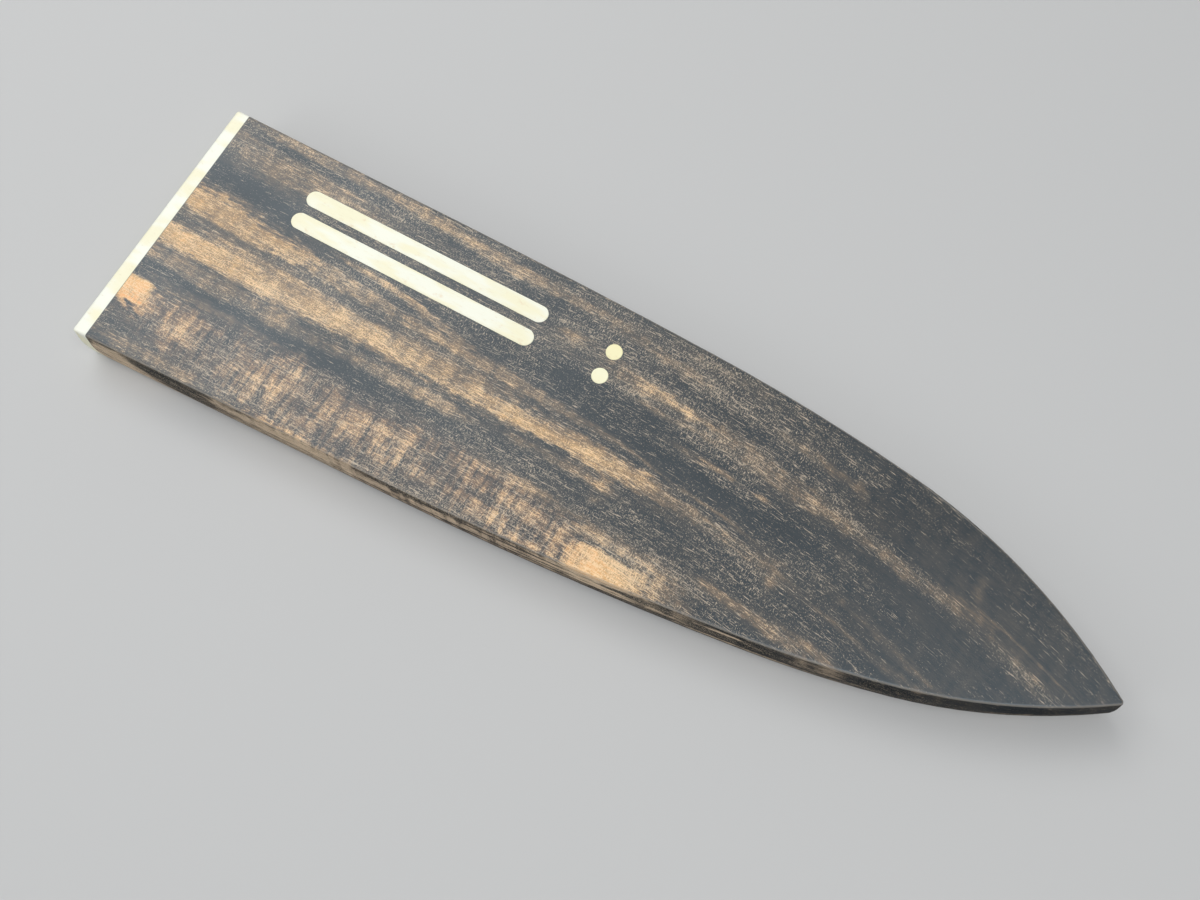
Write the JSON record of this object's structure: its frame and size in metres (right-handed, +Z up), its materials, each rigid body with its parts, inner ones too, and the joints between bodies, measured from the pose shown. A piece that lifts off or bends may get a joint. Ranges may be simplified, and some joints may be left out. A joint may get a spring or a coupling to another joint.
{
  "type": "knife blade guard",
  "caption": "Flat wooden sheath for a chef's knife blade, dark figured wood with a pale mouth cap, inlaid pale bars and dots, and hidden magnets that hold the blade.",
  "frame": {"origin": "under the middle of the guard's box, on the surface that it rests on", "axes": "+X from the mouth to the point, +Y from the spine side to the cutting-edge side, +Z up out of the inlaid face"},
  "size_m": [0.2272, 0.064, 0.012],
  "materials": {
    "dark_wood": "oiled, satin, near-black with brown streaks",
    "dark_wood_under": "oiled, satin, near-black with brown streaks",
    "pale_cap_wood": "oiled, satin, creamy white",
    "pale_inlay_wood": "oiled, satin, creamy white",
    "magnet_plating": "bright nickel plating"
  },
  "bodies": {
    "root": {"top_half": "dark_wood", "bottom_half": "dark_wood_under", "mouth_cap": "pale_cap_wood", "edge_side_bar": "pale_inlay_wood", "spine_side_bar": "pale_inlay_wood", "edge_side_dot": "pale_inlay_wood", "spine_side_dot": "pale_inlay_wood", "top_rear_magnet": "magnet_plating", "top_front_magnet": "magnet_plating", "bottom_rear_magnet": "magnet_plating", "bottom_front_magnet": "magnet_plating"}
  },
  "joints": []
}
